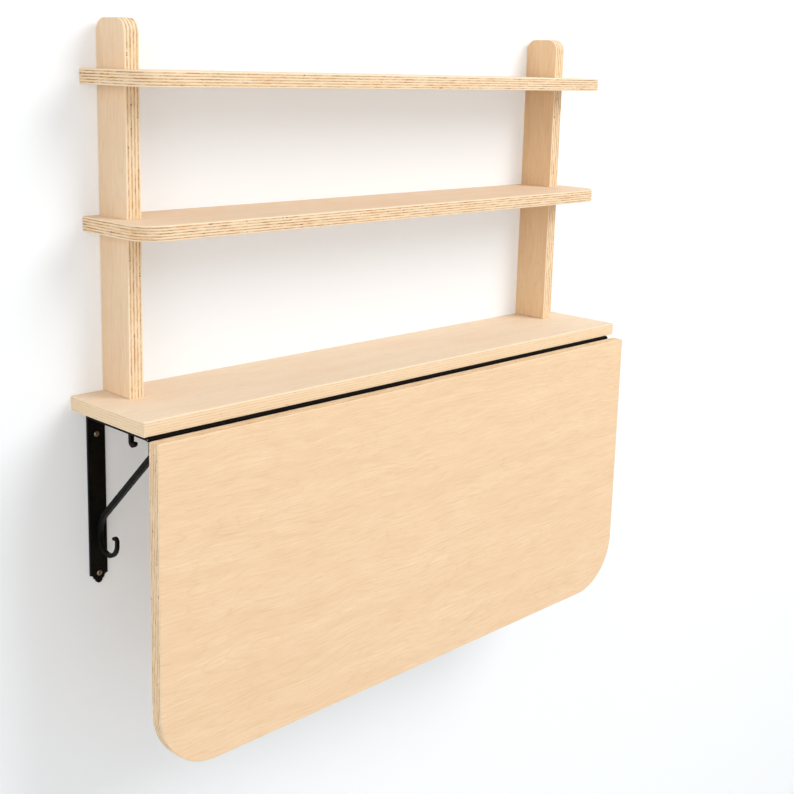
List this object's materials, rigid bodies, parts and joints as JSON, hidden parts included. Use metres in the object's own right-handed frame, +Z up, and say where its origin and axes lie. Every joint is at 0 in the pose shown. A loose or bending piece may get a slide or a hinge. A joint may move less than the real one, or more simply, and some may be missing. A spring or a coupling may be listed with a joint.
{
  "type": "wall mounted drop leaf table",
  "caption": "Narrow wall shelf of plywood on scrolled iron brackets, with a hinged leaf that hangs down and lifts level to make a table, and a two-tier shelf unit above.",
  "frame": {"origin": "middle of the fixed board's back edge, on the wall", "axes": "+X along the wall to the right as seen from the room, +Y into the wall, +Z up"},
  "size_m": [0.886, 0.2068, 0.8653],
  "materials": {
    "birch_board": "unfinished sanded birch plywood",
    "birch_leaf": "unfinished sanded birch plywood",
    "birch_upright": "unfinished sanded birch plywood",
    "black_iron": "satin black forged iron",
    "stay_steel": "satin black pressed steel",
    "hinge_steel": "satin black steel",
    "screw_black": "black screws",
    "screw_zinc": "bright zinc"
  },
  "bodies": {
    "frame": {"fixed_board": "birch_board", "lower_shelf": "birch_board", "upper_shelf": "birch_board", "upright_left": "birch_upright", "bracket_strap_left": "black_iron", "bracket_arm_left": "black_iron", "bracket_brace_left": "black_iron", "bracket_hook_left": "black_iron", "stay_bracket_board_left": "stay_steel", "stay_board_rivet_left": "stay_steel", "upright_right": "birch_upright", "bracket_strap_right": "black_iron", "bracket_arm_right": "black_iron", "bracket_brace_right": "black_iron", "bracket_hook_right": "black_iron", "stay_bracket_board_right": "stay_steel", "stay_board_rivet_right": "stay_steel", "hinge_plate_board": "hinge_steel", "hinge_pin": "hinge_steel", "wall_screws": "screw_black", "arm_screws": "screw_black", "upright_screws": "screw_zinc", "shelf_screws": "screw_zinc", "hinge_screws_board": "screw_black", "stay_screws_board": "screw_black"},
    "leaf": {"drop_leaf": "birch_leaf", "stay_bracket_leaf_left": "stay_steel", "stay_leaf_rivet_left": "stay_steel", "stay_bracket_leaf_right": "stay_steel", "stay_leaf_rivet_right": "stay_steel", "hinge_plate_leaf": "hinge_steel", "hinge_screws_leaf": "screw_black", "stay_screws_leaf": "screw_black"},
    "stay_left_upper": {"stay_upper_link_left": "stay_steel", "stay_elbow_rivet_left": "stay_steel"},
    "stay_left_lower": {"stay_lower_link_left": "stay_steel"},
    "stay_right_upper": {"stay_upper_link_right": "stay_steel", "stay_elbow_rivet_right": "stay_steel"},
    "stay_right_lower": {"stay_lower_link_right": "stay_steel"}
  },
  "joints": [
    {"name": "leaf_hinge", "type": "hinge", "parent": "frame", "child": "leaf", "pos_m": [0, -0.151, -0.0118], "axis": [-1, 0, 0], "range_deg": [0, 90]},
    {"name": "stay_left_fold", "type": "hinge", "parent": "frame", "child": "stay_left_upper", "pos_m": [0, -0.051, -0.0218], "axis": [-1, 0, 0], "range_deg": [0, 90]},
    {"name": "stay_left_elbow", "type": "hinge", "parent": "stay_left_upper", "child": "stay_left_lower", "pos_m": [0, -0.041, -0.1218], "axis": [-1, 0, 0], "range_deg": [-90, 0]},
    {"name": "stay_right_fold", "type": "hinge", "parent": "frame", "child": "stay_right_upper", "pos_m": [0, -0.051, -0.0218], "axis": [-1, 0, 0], "range_deg": [0, 90]},
    {"name": "stay_right_elbow", "type": "hinge", "parent": "stay_right_upper", "child": "stay_right_lower", "pos_m": [0, -0.041, -0.1218], "axis": [-1, 0, 0], "range_deg": [-90, 0]}
  ],
  "couplings": [
    {"joint": "stay_left_fold", "follows": "leaf_hinge", "ratio": 1},
    {"joint": "stay_left_elbow", "follows": "leaf_hinge", "ratio": -1},
    {"joint": "stay_right_fold", "follows": "leaf_hinge", "ratio": 1},
    {"joint": "stay_right_elbow", "follows": "leaf_hinge", "ratio": -1}
  ]
}
